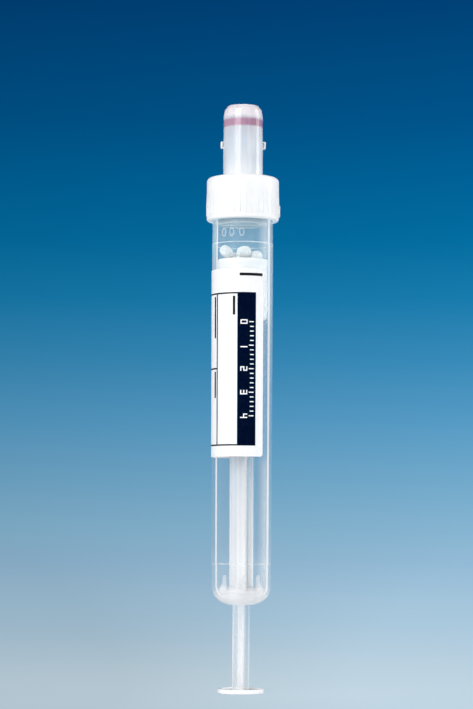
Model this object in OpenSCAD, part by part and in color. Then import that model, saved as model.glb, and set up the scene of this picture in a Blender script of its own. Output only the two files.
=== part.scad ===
// Plunger-type blood collection tube with a screw cap, standing on the thumb disc of its rod.
// Z is up, and the origin is the centre of the disc's lower face. The front faces -Y.
// Angles round the tube are counted from the front, positive towards +X.

/* [Tube] */
// Length from the rounded bottom to the rim under the cap
tube_length = 90; // [84:1:100]
// Outer diameter at the upper parting ring
tube_top_d = 13.15; // [13:0.05:13.3]
// Outer diameter at the lower parting ring
tube_low_d = 12.8; // [12.6:0.05:13]
// Diameter of the bore
bore_d = 11; // [10.7:0.1:11.2]
// Step in the wall at each parting ring
ring_step = 0.06; // [0.02:0.01:0.1]
// Height of the lower parting ring above the bottom
ring_low_h = 8.9; // [7:0.1:12]
// Depth of the upper parting ring below the rim
ring_top_drop = 12.6; // [10:0.1:16]
// Height of the rounded bottom
dome_h = 4.7; // [3.6:0.1:5]
// Roundness of the bottom, 2 being an ellipse
dome_power = 2.4; // [2:0.05:3]
// Thickness of the bottom beside the rod hole
floor_t = 1.4; // [1:0.1:1.8]
// Outer diameter of the threaded mouth, at the root of the thread
mouth_d = 12.3; // [12.1:0.1:12.5]
// Length of the threaded mouth
mouth_l = 6.9; // [5:0.1:7.2]

/* [Latch collar] */
// Number of latch fingers round the rod hole
finger_count = 4; // [2:1:6]
// Width of each finger
finger_w = 1.3; // [0.8:0.1:1.8]
// Thickness of each finger, along the radius
finger_t = 0.8; // [0.6:0.05:1]
// Height of the finger tips above the tube's bottom
finger_h = 6.5; // [5.8:0.1:7.5]
// Height at which the gusset leaves the finger
gusset_top_h = 5.2; // [4.6:0.1:5.6]
// Height at which the gusset is widest
gusset_low_h = 3.5; // [3:0.1:4]
// Reach of the gusset beyond the finger
gusset_w = 0.65; // [0.4:0.05:0.9]
// Height of the ring between the fingers
collar_h = 4.2; // [3.6:0.1:4.5]
// Wall of that ring
collar_wall = 0.8; // [0.5:0.05:1]

/* [Plunger rod] */
// Height of the tube's bottom above the surface when the plunger is in
rest_h = 18.45; // [12:0.05:26]
// Width of the cross-shaped shaft inside the tube
shaft_w = 5.25; // [4.8:0.05:5.6]
// Width of the shaft outside the tube
stem_w = 3.76; // [3.2:0.02:4.4]
// Thickness of the shaft's four ribs inside the tube
rib_t = 2.05; // [1.6:0.05:2.4]
// Thickness of the ribs outside the tube
stem_rib_t = 1.45; // [1:0.05:1.6]
// Length of the slope between stem and shaft
step_l = 1; // [0.5:0.1:2]
// Diameter of the thumb disc
disc_d = 9.8; // [8.6:0.1:12]
// Thickness of the thumb disc
disc_t = 1; // [0.95:0.05:1.8]
// Rounding of the disc's edge
disc_round = 0.25; // [0.15:0.05:0.4]
// Depth of the hollow in the disc's upper face
disc_dish = 0.3; // [0.1:0.05:0.4]
// Width of the raised rim round that hollow
disc_rim = 0.5; // [0.3:0.1:0.8]
// Diameter of the waist where the rod snaps off
waist_d = 2.1; // [1.6:0.1:2.3]
// Length of that waist
waist_l = 1; // [0.6:0.1:1.6]
// Diameter of the neck in the piston's socket
snap_neck_d = 2.5; // [2.2:0.1:2.7]
// Diameter of the head in the piston's socket
snap_head_d = 3.3; // [3:0.1:3.5]

/* [Piston] */
// Height of the piston
piston_h = 12.8; // [12:0.1:15]
// Space between the piston's lip and the cap's plug at rest
headspace = 7.5; // [6:0.1:12]
// Radial clearance of the sealing lips in the bore
lip_gap = 0.03; // [0.02:0.01:0.08]
// How far the lips stand out from the piston's body
lip_out = 0.12; // [0.08:0.01:0.2]
// Height of each sealing lip
lip_h = 0.7; // [0.5:0.05:1]
// Wall of the piston's skirt
skirt_wall = 1; // [0.8:0.05:1.1]
// Bevel at the foot of the skirt
skirt_bevel = 0.2; // [0.1:0.05:0.4]
// Height of that bevel
skirt_bevel_h = 1.8; // [1:0.1:2.4]
// Depth of the open space that takes the latch fingers
hollow_depth = 4.6; // [4:0.1:5]
// Diameter of the hub that holds the snap socket
hub_d = 5.8; // [5.2:0.1:6.2]
// Depth of the snap socket above the hub's foot
socket_depth = 3.5; // [3:0.1:3.8]
// Height of the socket's narrow mouth
socket_mouth_h = 0.7; // [0.5:0.1:1]
// Thickness of the wall between the socket and the dish
web_t = 1; // [0.8:0.1:1.4]
// Clearance round the snap neck and head
snap_gap = 0.1; // [0.05:0.01:0.15]
// Height of the slope in the middle of the dish
dish_slope = 0.7; // [0.4:0.1:1]

/* [Beads] */
// Diameter of a bead
bead_d = 2.9; // [2.6:0.1:2.9]
// Thickness of a bead
bead_t = 2.2; // [1.8:0.1:2.2]
// Number of beads in the lower ring
bead_count = 5; // [3:1:5]

/* [Cap] */
// Diameter of the skirt
cap_d = 15.55; // [15.3:0.05:16.5]
// Height of the skirt with the roof
cap_h = 9.4; // [9.2:0.1:12]
// Thickness of the roof
roof_t = 1.8; // [1.4:0.1:2.4]
// Rounding of the skirt's upper edge
cap_round = 0.9; // [0.5:0.1:1.2]
// Gap between the tube's wall and the skirt
skirt_gap = 0.13; // [0.1:0.01:0.2]
// Number of grip ribs
grip_count = 38; // [24:1:48]
// How far the ribs stand out
grip_out = 0.1; // [0.06:0.01:0.2]
// Radius of a rib's back
grip_r = 0.32; // [0.2:0.01:0.4]
// Length of the ribs at full height
grip_full = 2.6; // [1:0.1:4]
// Length over which the ribs fade out upwards
grip_fade = 4; // [1:0.1:4.5]
// How far the stop pad on the skirt stands out
pad_out = 0.26; // [0.1:0.02:0.4]
// Width of the stop pad
pad_w = 2.4; // [1.5:0.1:3.5]
// Height of the stop pad
pad_h = 2.4; // [1.5:0.1:3]

/* [Sealing plug] */
// Depth of the plug below the tube's rim
plug_l = 8.4; // [7:0.1:10]
// Wall of the plug
plug_wall = 0.95; // [0.7:0.05:1.2]
// Radial clearance of the plug in the bore
plug_gap = 0.05; // [0.02:0.01:0.1]
// Gap between the tube's rim and the roof
rim_gap = 0.05; // [0.02:0.01:0.1]
// Bevel at the plug's foot
plug_bevel = 0.35; // [0.2:0.05:0.5]

/* [Needle neck] */
// Outer diameter of the neck
neck_d = 8.46; // [8.2:0.02:9]
// Step in the neck's wall just above the lugs
neck_step = 0.16; // [0.16:0.02:0.3]
// Height of the neck above the roof
neck_h = 15.75; // [13:0.05:20]
// Diameter of the passage inside the neck
passage_d = 6.4; // [6:0.1:6.6]
// Diameter of the neck's flat top
neck_top_d = 6.6; // [6.2:0.1:7]
// Height of the sloping shoulder
shoulder_h = 1; // [0.8:0.1:1.4]
// Height of the steeper slope below that shoulder
shoulder_low_h = 1.1; // [0.6:0.1:1.4]
// How far the neck draws in over that steeper slope
shoulder_set = 0.25; // [0.15:0.05:0.35]
// Diameter of the needle port
port_d = 4.2; // [3.6:0.1:4.6]
// Depth of the port above the septum
port_depth = 3; // [2.4:0.1:4]
// Height of the lugs' undersides above the roof
lug_rise = 6.45; // [3:0.05:9]
// Height of a lug
lug_h = 1.5; // [1:0.1:2]
// Width of a lug
lug_w = 1.9; // [1.2:0.1:2.4]
// How far a lug stands out
lug_out = 0.48; // [0.4:0.02:1]
// Turn of the lug pair from the X axis
lug_turn = 4; // [-20:1:20]
// Corner rounding of lugs and pad
lug_corner = 0.35; // [0.1:0.05:0.45]

/* [Septum] */
// Diameter of the septum
septum_d = 6.95; // [6.85:0.05:7.2]
// Thickness of the septum
septum_t = 1.8; // [1.5:0.1:3]
// Clearance of the septum in its pocket
septum_gap = 0.04; // [0.02:0.01:0.06]
// Diameter of the dimples in its two faces
dimple_d = 3; // [2:0.1:3.4]
// Depth of those dimples
dimple_depth = 0.3; // [0.1:0.05:0.5]

/* [Label] */
// Height of the label's lower edge above the tube's bottom
label_low = 31.65; // [20:0.05:40]
// Height of the label
label_h = 40.05; // [30:0.05:44]
// Angle that the label covers
label_arc = 236; // [150:1:320]
// Angle of the label's right edge
label_right = 42; // [20:1:60]
// Thickness of the paper
paper_t = 0.1; // [0.06:0.01:0.15]
// Thickness of the printed layers
ink_t = 0.04; // [0.03:0.01:0.06]
// Corner rounding of the paper
paper_corner = 0.7; // [0.2:0.1:1]

/* [Label print] */
// Height of the ruled frame's lower line above the label's lower edge
frame_low = 2.45; // [1:0.05:5]
// Height of the ruled frame
frame_h = 32.3; // [25:0.1:34]
// Angle of the frame's right edge
frame_right = 25.5; // [10:0.5:36]
// Width of the dark band, measured round the tube
band_w = 4; // [3.4:0.1:5]
// Width of the column beside the band
column_w = 5.1; // [3:0.1:7]
// Width of the outer column
outer_w = 8; // [5:0.1:10]
// Thickness of the ruled lines
line_w = 0.3; // [0.15:0.05:0.35]
// Height of the divider of the outer column above the frame's lower line
divider_h = 16.3; // [8:0.1:24]
// Height of the short bar above the frame
bar_rise = 3.7; // [2:0.05:4.2]
// Thickness of the short bar
bar_t = 0.58; // [0.3:0.02:0.7]
// Length of the short bar, measured round the tube
bar_w = 4.7; // [3:0.1:6]
// Width of the caption marks
caption_w = 0.5; // [0.3:0.05:0.8]
// Length of the name caption mark
caption_l = 4; // [2:0.1:6]
// Number of divisions on the band's scale
scale_count = 20; // [10:1:24]
// Distance between two scale ticks
scale_pitch = 1; // [0.6:0.05:1.1]
// Thickness of a tick
tick_t = 0.22; // [0.15:0.01:0.3]
// Length of a short tick
tick_l = 0.8; // [0.5:0.05:1]
// Height of a numeral
digit_h = 1.5; // [1.2:0.05:1.6]
// Width of a numeral
digit_w = 0.95; // [0.7:0.05:1.1]
// Stroke of a numeral
digit_stroke = 0.24; // [0.15:0.01:0.3]

/* [Hidden] */
$fn = 96;
// Depth to which joined shapes run into each other, and cutting tools run past a face
weld = 0.3;
// Steps of a curve that is drawn from points
curve_steps = 12;

// Tube, from its own bottom
bore_r = bore_d / 2;
low_r = tube_low_d / 2;
top_r = tube_top_d / 2;
collar_r = top_r - ring_step;
mouth_r = mouth_d / 2;
ring_top_h = tube_length - ring_top_drop;
// Gap between the shaft's rib tips and the rod hole
hole_gap = 0.17;
hole_r = shaft_w / 2 + hole_gap;
// Gap between the hole's wall and the fingers' inner faces
finger_set = 0.35;
finger_in = hole_r + finger_set;
finger_out = finger_in + finger_t;
gusset_r = finger_out + gusset_w;

// Cap levels, from the ground
rim_z = rest_h + tube_length;
roof_low = rim_z + rim_gap;
roof_top = roof_low + roof_t;
cap_low = roof_top - cap_h;
neck_top = roof_top + neck_h;
plug_low = rim_z - plug_l;
cap_r = cap_d / 2;
skirt_in_r = collar_r + skirt_gap;
// Width of the skirt's flat foot, inside its rounding
foot_flat = 0.1;
foot_round = cap_r - skirt_in_r - foot_flat;
plug_r = bore_r - plug_gap;
plug_in_r = plug_r - plug_wall;
neck_r = neck_d / 2;
neck_low_r = neck_r + neck_step;
lug_top = roof_top + lug_rise + lug_h;
// Height of the neck's step above the lugs
step_rise = 0.1;
neck_step_z = lug_top + step_rise;
neck_top_r = neck_top_d / 2;
// Rounding at the neck's root and at its top edge
neck_fillet = 0.3;
neck_edge = 0.25;
shoulder_r = neck_r - shoulder_set;
shoulder_turn = atan((shoulder_r - neck_top_r) / shoulder_h);
passage_r = passage_d / 2;
port_r = port_d / 2;
port_bevel = 0.35;
pocket_r = septum_d / 2 + septum_gap;
pocket_top = neck_top - port_depth;
septum_low = pocket_top - septum_gap - septum_t;
pocket_low = septum_low - septum_gap;
// Bevel under the septum's ledge
ledge_bevel = 0.25;
grip_low = cap_low + foot_round;

// Piston, from its own foot
lip_r = bore_r - lip_gap;
piston_r = lip_r - lip_out;
hollow_r = piston_r - skirt_wall;
hub_r = hub_d / 2;
socket_top = hollow_depth + socket_depth;
dish_low = socket_top + web_t;
// Slopes on both sides of a lip, and the flat top of the upper one
lip_slope = 0.15;
lip_flat = 0.3;
dish_r = lip_r - lip_slope - lip_flat;
dish_wall_lean = 0.1;
dish_mid_r = 2.6;
// Height of the dish's bowl, below its straight wall
bowl_h = 1.9;
piston_z = plug_low - headspace - piston_h;
snap_neck_r = snap_neck_d / 2;
snap_head_r = snap_head_d / 2;
hub_z = piston_z + hollow_depth;
shaft_top = hub_z - waist_l;

// Beads, from the middle of the piston's dish
dish_z = piston_z + dish_low;
bead_edge = bead_t / 2;
bead_ring_r = 2.88;
bead_ring_z = 2.28;
bead_ring_tilt = 22;
bead_ring_start = -44;
middle_beads_z = [1.35, 3.65];
// Upper beads: distance from the axis, angle, height, tilt about the line to the axis, lean outwards
upper_beads = [
    [3.5, -86, 5.5, 0, -40],
    [2.95, 6, 5.2, 8, -10],
    [3, 66, 4.36, -6, -14],
    [2.95, 138, 4.32, 5, -10],
    [2.95, 208, 4.45, -6, -12]
];

// Share by which a corner's arc runs past the paper's edges, so that it crosses them
corner_over = 1.04;
// Label print, in angles from the front
band_left = frame_right - turn(band_w);
column_left = band_left - turn(column_w);
frame_left = column_left - turn(outer_w);
frame_low_h = label_low + frame_low;
frame_top_h = frame_low_h + frame_h;
// Inset of the captions from the frame's line above them and from the line beside them
caption_drop = 0.5;
caption_set = 0.75;
// Share of the short caption's length that the outer column's captions have
date_share = 2.2;
lab_share = 1.4;
// Where the scale and its numerals stand on the band, from the band's right edge
tick_set = 0.5;
digit_set = 1.85;
// Strokes of the plain numerals, as the segments a to g of a seven-segment figure
DIGITS = ["abcdef", "bc", "abged", "abgcd", "fgbc"];
ticks_per_digit = 5;

// Points on a circular arc
function arc(x, y, r, from, to) = [
    for (i = [0:curve_steps])
        let (a = from + (to - from) * i / curve_steps)
        [x + r * cos(a), y + r * sin(a)]
];

// Points on a rounded bottom of radius r and height h, from radius inner outwards
function dome(r, h, z, inner) = [
    for (i = [0:curve_steps])
        let (a = acos(pow(inner / r, dome_power / 2)) * (1 - i / curve_steps))
        [r * pow(cos(a), 2 / dome_power), z + h - h * pow(sin(a), 2 / dome_power)]
];

// Height of such a bottom at a distance x from its middle
function dome_rise(r, h, x) = h - h * pow(1 - pow(x / r, dome_power), 1 / dome_power);

function reversed(points) = [for (i = [len(points) - 1:-1:0]) points[i]];

// Outer radius of the drafted wall at a height above the tube's bottom
function wall_r(h) = low_r + (top_r - low_r) * (h - ring_low_h) / (ring_top_h - ring_low_h);

// Angle that a distance covers on the label
function turn(w) = w / (wall_r(label_low + label_h / 2) + paper_t) * 180 / PI;

// A lip on the piston's outside
function lip(z) = [
    [piston_r, z],
    [lip_r, z + lip_slope],
    [lip_r, z + lip_h - lip_slope],
    [piston_r, z + lip_h]
];

// Rectangle with rounded corners, centred
module rounded_rect(w, h, r) {
    square([w - 2 * r, h], center = true);
    square([w, h - 2 * r], center = true);
    for (x = [-1, 1], y = [-1, 1])
        translate([x * (w / 2 - r), y * (h / 2 - r)])
            circle(r);
}

// Rounded plate that stands out of a round wall along X, from radius r to radius r + out
module boss(w, h, r, out) {
    translate([r - weld, 0, 0])
        rotate([90, 0, 90])
        linear_extrude(out + weld)
        rounded_rect(w, h, lug_corner);
}

// Layer round the drafted wall, at a distance from it
module skin(lift, t) {
    rotate_extrude()
        polygon([
            [low_r + lift, ring_low_h],
            [low_r + lift + t, ring_low_h],
            [top_r + lift + t, ring_top_h],
            [top_r + lift, ring_top_h]
        ]);
}

// Block between two angles and two heights that reaches through every layer
module patch(from, to, low, high) {
    rotate([0, 0, from - 90])
        rotate_extrude(angle = to - from)
        translate([low_r - weld, low])
        square([top_r - low_r + 2 * weld, high - low]);
}

// Tube

module tube_wall() {
    bottom_r = low_r - ring_step;
    rotate_extrude()
        polygon(concat(
            dome(bottom_r, dome_h, 0, hole_r),
            [
                [bottom_r, ring_low_h],
                [low_r, ring_low_h],
                [top_r, ring_top_h],
                [collar_r, ring_top_h],
                [collar_r, tube_length - mouth_l],
                [mouth_r, tube_length - mouth_l],
                [mouth_r, tube_length],
                [bore_r, tube_length]
            ],
            reversed(dome(bore_r, dome_h - floor_t, floor_t, hole_r))
        ));
}

module latch_finger() {
    foot_h = floor_t + dome_rise(bore_r, dome_h - floor_t, gusset_r) - weld;
    rotate([90, 0, 0])
        translate([0, 0, -finger_w / 2])
        linear_extrude(finger_w)
        polygon([
            [finger_in, floor_t],
            [gusset_r, foot_h],
            [gusset_r, gusset_low_h],
            [finger_out, gusset_top_h],
            [finger_out, finger_h],
            [finger_in, finger_h]
        ]);
}

module latch_collar() {
    rotate_extrude()
        translate([hole_r, floor_t])
        square([collar_wall, collar_h - floor_t]);
    for (i = [0:finger_count - 1])
        rotate([0, 0, 360 * i / finger_count])
            latch_finger();
}

module tube() {
    color([0.82, 0.88, 0.92, 0.35])
        translate([0, 0, rest_h]) {
            tube_wall();
            latch_collar();
        }
}

// Cap

module cap_shell() {
    rotate_extrude()
        polygon(concat(
            [[skirt_in_r, cap_low]],
            arc(cap_r - foot_round, cap_low + foot_round, foot_round, -90, 0),
            arc(cap_r - cap_round, roof_top - cap_round, cap_round, 0, 90),
            arc(neck_low_r + neck_fillet, roof_top + neck_fillet, neck_fillet, 270, 180),
            [
                [neck_low_r, neck_step_z],
                [neck_r, neck_step_z],
                [neck_r, neck_top - shoulder_h - shoulder_low_h],
                [shoulder_r, neck_top - shoulder_h]
            ],
            arc(
                neck_top_r - neck_edge, neck_top - neck_edge, neck_edge,
                shoulder_turn, 90
            ),
            [
                [port_r + port_bevel, neck_top],
                [port_r, neck_top - port_bevel],
                [port_r, pocket_top],
                [pocket_r, pocket_top],
                [pocket_r, pocket_low],
                [passage_r + ledge_bevel, pocket_low],
                [passage_r, pocket_low - ledge_bevel],
                [passage_r, roof_top],
                [plug_in_r, roof_low],
                [plug_in_r, plug_low],
                [plug_r - plug_bevel, plug_low],
                [plug_r, plug_low + plug_bevel],
                [plug_r, roof_low],
                [skirt_in_r, roof_low]
            ]
        ));
}

module grip_ribs() {
    grip_l = grip_full + grip_fade;
    intersection() {
        for (i = [0:grip_count - 1])
            rotate([0, 0, 360 * i / grip_count])
                translate([cap_r + grip_out - grip_r, 0, grip_low])
                cylinder(r = grip_r, h = grip_l, $fn = 24);
        rotate_extrude()
            polygon([
                [cap_r - weld, grip_low],
                [cap_r, grip_low],
                [cap_r + grip_out, grip_low + grip_out],
                [cap_r + grip_out, grip_low + grip_full],
                [cap_r - grip_out / 2, grip_low + grip_l],
                [cap_r - weld, grip_low + grip_l]
            ]);
    }
}

module screw_cap() {
    color("white") {
        cap_shell();
        grip_ribs();
        translate([0, 0, grip_low + pad_h / 2])
            boss(pad_w, pad_h, cap_r, pad_out);
        for (side = [0, 180])
            rotate([0, 0, side + lug_turn])
                translate([0, 0, lug_top - lug_h / 2])
                boss(lug_w, lug_h, neck_low_r, lug_out);
    }
}

module septum() {
    r = septum_d / 2;
    dimple_r = dimple_d / 2;
    top = septum_low + septum_t;
    color([0.72, 0.38, 0.5])
        rotate_extrude()
        polygon([
            [0, septum_low + dimple_depth],
            [dimple_r - dimple_depth, septum_low + dimple_depth],
            [dimple_r, septum_low],
            [r, septum_low],
            [r, top],
            [dimple_r, top],
            [dimple_r - dimple_depth, top - dimple_depth],
            [0, top - dimple_depth]
        ]);
}

// Plunger

module thumb_disc() {
    r = disc_d / 2;
    floor = disc_t - disc_dish;
    rotate_extrude()
        polygon(concat(
            [[0, 0]],
            arc(r - disc_round, disc_round, disc_round, -90, 0),
            arc(r - disc_round, disc_t - disc_round, disc_round, 0, 90),
            [
                [r - disc_round - disc_rim, disc_t],
                [r - disc_round - disc_rim - disc_dish, floor],
                [0, floor]
            ]
        ));
}

// Four ribs in a cross, thicker inside the tube, cut round to the stem's and the shaft's widths
module shaft() {
    stem_r = stem_w / 2;
    shaft_r = shaft_w / 2;
    step_z = rest_h + floor_t;
    intersection() {
        for (a = [0, 90])
            rotate([0, 0, a]) {
                translate([-shaft_r, -stem_rib_t / 2, 0])
                    cube([shaft_w, stem_rib_t, shaft_top]);
                translate([-shaft_r, -rib_t / 2, step_z])
                    cube([shaft_w, rib_t, shaft_top - step_z]);
            }
        rotate_extrude()
            polygon([
                [0, disc_t / 2],
                [stem_r, disc_t / 2],
                [stem_r, step_z],
                [shaft_r, step_z + step_l],
                [shaft_r, shaft_top],
                [0, shaft_top]
            ]);
    }
}

module snap_end() {
    mouth_z = hub_z + socket_mouth_h;
    top = piston_z + socket_top;
    rotate_extrude()
        polygon([
            [0, shaft_top - weld],
            [waist_d / 2, shaft_top - weld],
            [waist_d / 2, hub_z],
            [snap_neck_r, hub_z],
            [snap_neck_r, mouth_z + snap_gap],
            [snap_head_r, mouth_z + snap_gap],
            [snap_head_r, mouth_z + 2 * snap_gap],
            [snap_neck_r, top],
            [0, top]
        ]);
}

module plunger_rod() {
    color([0.9, 0.93, 0.96]) {
        thumb_disc();
        shaft();
        snap_end();
    }
}

module piston() {
    socket_r = snap_head_r + snap_gap;
    mouth_r = snap_neck_r + snap_gap;
    color([0.97, 0.97, 0.98])
        translate([0, 0, piston_z])
        rotate_extrude()
        polygon(concat(
            [
                [hollow_r, 0],
                [piston_r - skirt_bevel, 0],
                [piston_r, skirt_bevel_h]
            ],
            lip(skirt_bevel_h + lip_slope),
            lip(piston_h / 2),
            [
                [piston_r, piston_h - 2 * lip_h],
                [lip_r, piston_h - lip_h],
                [lip_r, piston_h - lip_slope],
                [lip_r - lip_slope, piston_h],
                [dish_r, piston_h],
                [dish_r - dish_wall_lean, dish_low + bowl_h],
                [dish_mid_r, dish_low + dish_slope],
                [0, dish_low],
                [0, socket_top],
                [socket_r, socket_top],
                [socket_r, hollow_depth + socket_mouth_h],
                [mouth_r, hollow_depth + socket_mouth_h],
                [mouth_r, hollow_depth],
                [hub_r, hollow_depth],
                [hub_r, socket_top],
                [hollow_r, socket_top]
            ]
        ));
}

module bead() {
    rotate_extrude()
        intersection() {
            union() {
                translate([bead_d / 2 - bead_edge, 0])
                    circle(bead_edge, $fn = 48);
                translate([0, -bead_t / 2])
                    square([bead_d / 2 - bead_edge, bead_t]);
            }
            translate([0, -bead_t])
                square([bead_d, 2 * bead_t]);
        }
}

module clot_beads() {
    color([0.93, 0.95, 0.97])
        translate([0, 0, dish_z]) {
            for (z = middle_beads_z)
                translate([0, 0, z])
                    bead();
            for (i = [0:bead_count - 1])
                rotate([0, 0, bead_ring_start - 90 + 360 * i / bead_count])
                    translate([bead_ring_r, 0, bead_ring_z])
                    rotate([0, -bead_ring_tilt, 0])
                    bead();
            for (b = upper_beads)
                rotate([0, 0, b[1] - 90])
                    translate([b[0], 0, b[2]])
                    rotate([b[3], b[4], 0])
                    bead();
        }
}

// Label

// Cuts one corner of the paper round; side and up point out of the corner
module corner_cut(angle, height, side, up) {
    c = paper_corner;
    rotate([0, 0, angle - 90])
        translate([low_r - weld, 0, height])
        rotate([90, 0, 90])
        linear_extrude(top_r - low_r + 2 * weld)
        difference() {
            translate([side * (weld - c) / 2, up * (weld - c) / 2])
                square(c + weld, center = true);
            translate([-side * c, -up * c])
                circle(corner_over * c, $fn = 48);
        }
}

module label() {
    left = label_right - label_arc;
    color("white")
        translate([0, 0, rest_h])
        difference() {
            intersection() {
                skin(0, paper_t);
                patch(left, label_right, label_low, label_low + label_h);
            }
            corner_cut(label_right, label_low, 1, -1);
            corner_cut(label_right, label_low + label_h, 1, 1);
            corner_cut(left, label_low, -1, -1);
            corner_cut(left, label_low + label_h, -1, 1);
        }
}

// Printed layer in the form of its children, at a distance from the wall
module printed(lift) {
    translate([0, 0, rest_h])
        intersection() {
            skin(lift, ink_t);
            union() children();
        }
}

// Upright line centred on an angle, and line round the paper centred on a height
module upright_line(angle, low, high) {
    half = turn(line_w) / 2;
    patch(angle - half, angle + half, low, high);
}

module round_line(from, to, height) {
    patch(from, to, height - line_w / 2, height + line_w / 2);
}

// Blank mark that stands for a caption, hanging down from its top
module caption(angle, top, length) {
    half = turn(caption_w) / 2;
    patch(angle - half, angle + half, top - length, top);
}

module label_rules() {
    bar_z = frame_top_h + bar_rise;
    divider_z = frame_low_h + divider_h;
    caption_top = frame_top_h - line_w / 2 - caption_drop;
    lab_top = divider_z - line_w / 2 - caption_drop;
    color([0.13, 0.13, 0.17])
        printed(paper_t) {
            round_line(frame_left, band_left, frame_low_h);
            round_line(frame_left, band_left, frame_top_h);
            round_line(frame_left, column_left, divider_z);
            upright_line(column_left, frame_low_h, frame_top_h);
            upright_line(frame_left, frame_low_h - line_w / 2, frame_top_h + line_w / 2);
            patch(label_right - turn(bar_w + caption_set), label_right - turn(line_w),
                bar_z, bar_z + bar_t);
            caption(band_left - turn(caption_set), caption_top, caption_l);
            caption(column_left - turn(caption_set), caption_top, caption_l * date_share);
            caption(column_left - turn(caption_set), lab_top, caption_l * lab_share);
        }
}

module label_band() {
    color([0.01, 0.03, 0.13])
        printed(paper_t)
        patch(band_left, frame_right, frame_low_h - line_w / 2, frame_top_h + line_w / 2);
}

// One stroke of a numeral that reads downwards: x runs down the tube, y towards its right
module stroke(x0, x1, y0, y1, right, top) {
    patch(right - turn(digit_h - y0), right - turn(digit_h - y1), top - x1, top - x0);
}

module numeral(segments, right, middle) {
    w = digit_w;
    h = digit_h;
    s = digit_stroke;
    half = (h - s) / 2;
    top = middle + w / 2;
    for (g = segments) {
        if (g == "a") stroke(0, w, h - s, h, right, top);
        if (g == "b") stroke(w - s, w, half, h, right, top);
        if (g == "c") stroke(w - s, w, 0, half + s, right, top);
        if (g == "d") stroke(0, w, 0, s, right, top);
        if (g == "e") stroke(0, s, 0, half + s, right, top);
        if (g == "f") stroke(0, s, half, h, right, top);
        if (g == "g") stroke(0, w, half, half + s, right, top);
    }
}

// Plain scale with numerals at its long ticks
module band_marks() {
    scale_mid = (frame_low_h + frame_top_h) / 2;
    tick_right = frame_right - turn(tick_set);
    digit_right = frame_right - turn(digit_set);
    color("white")
        printed(paper_t + ink_t)
        for (i = [0:scale_count]) {
            z = scale_mid + (scale_count / 2 - i) * scale_pitch;
            long = i % ticks_per_digit == 0;
            patch(tick_right - turn(long ? tick_l + tick_t : tick_l), tick_right,
                z - tick_t / 2, z + tick_t / 2);
            if (long) numeral(DIGITS[i / ticks_per_digit], digit_right, z);
        }
}

tube();
screw_cap();
septum();
plunger_rod();
piston();
clot_beads();
label();
label_rules();
label_band();
band_marks();
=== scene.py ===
import math

import bmesh
import bpy
from mathutils import Matrix, Vector


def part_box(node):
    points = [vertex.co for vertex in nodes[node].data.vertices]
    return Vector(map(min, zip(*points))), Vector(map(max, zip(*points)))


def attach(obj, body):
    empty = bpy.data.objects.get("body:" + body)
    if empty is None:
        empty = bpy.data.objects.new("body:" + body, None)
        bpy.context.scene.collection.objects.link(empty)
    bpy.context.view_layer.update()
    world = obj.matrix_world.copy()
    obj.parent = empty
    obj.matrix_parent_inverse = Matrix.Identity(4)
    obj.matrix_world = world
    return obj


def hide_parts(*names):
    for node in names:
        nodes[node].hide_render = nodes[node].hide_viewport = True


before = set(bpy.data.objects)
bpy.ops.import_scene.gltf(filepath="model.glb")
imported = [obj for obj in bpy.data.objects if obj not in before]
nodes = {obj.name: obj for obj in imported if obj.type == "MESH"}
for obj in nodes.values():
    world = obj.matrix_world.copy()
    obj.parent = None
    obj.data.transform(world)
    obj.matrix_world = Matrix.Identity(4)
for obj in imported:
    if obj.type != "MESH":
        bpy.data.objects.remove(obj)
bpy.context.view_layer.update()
mm = 0.001
tubeLength = 90  # millimetres
roofRise = 1.85  # from the tube's rim up to the top of the cap's roof


def height(node, end):
    # lower (0) or upper (1) end of a CAD node, in millimetres
    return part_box(node)[end][2] / mm


# heights that the pieces share, in millimetres above the ground
rimZ = height("tube", 1)
tubeZ = rimZ - tubeLength
roofZ = rimZ + roofRise
neckZ = height("screw_cap", 1)
plugZ = height("screw_cap", 0)
pistonZ = height("piston", 0)
rodZ = height("plunger_rod", 1)
septumZ = height("septum", 0)


def roundedLine(corners, steps=5):
    # corners are (x, y) or (x, y, rounding); a rounded corner becomes an arc
    line = []
    for i, corner in enumerate(corners):
        here = Vector(corner[:2])
        rounding = corner[2] if len(corner) > 2 else 0
        if not rounding:
            line.append(here)
            continue
        back = Vector(corners[i - 1][:2]) - here
        ahead = Vector(corners[(i + 1) % len(corners)][:2]) - here
        half = back.angle(ahead) / 2
        reach = rounding / math.tan(half)
        for beside, side in ((corners[i - 1], back), (corners[(i + 1) % len(corners)], ahead)):
            # a rounded neighbour keeps its half of the edge between them
            share = 0.48 if len(beside) > 2 and beside[2] else 0.97
            reach = min(reach, side.length * share)
        radius = reach * math.tan(half)
        back.normalize()
        ahead.normalize()
        centre = here + (back + ahead).normalized() * (radius / math.sin(half))
        start = here + back * reach - centre
        end = here + ahead * reach - centre
        sweep = math.pi - 2 * half
        if start.x * end.y - start.y * end.x < 0:
            sweep = -sweep
        for k in range(steps + 1):
            c, s = math.cos(sweep * k / steps), math.sin(sweep * k / steps)
            line.append(centre + Vector((start.x * c - start.y * s, start.x * s + start.y * c)))
    return line


def makeObject(name, mesh):
    piece = bpy.data.objects.new(name, mesh)
    bpy.context.scene.collection.objects.link(piece)
    return piece


def finishMesh(name, bm, sharp=40):
    bmesh.ops.recalc_face_normals(bm, faces=bm.faces)
    mesh = bpy.data.meshes.new(name)
    bm.to_mesh(mesh)
    bm.free()
    for face in mesh.polygons:
        face.use_smooth = True
    mesh.set_sharp_from_angle(angle=math.radians(sharp))
    return makeObject(name, mesh)


def evenShading(piece):
    # broad faces keep their own shading beside narrow roundings
    modifier = piece.modifiers.new("evenShading", "WEIGHTED_NORMAL")
    modifier.weight = 60
    modifier.keep_sharp = True
    return piece


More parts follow.
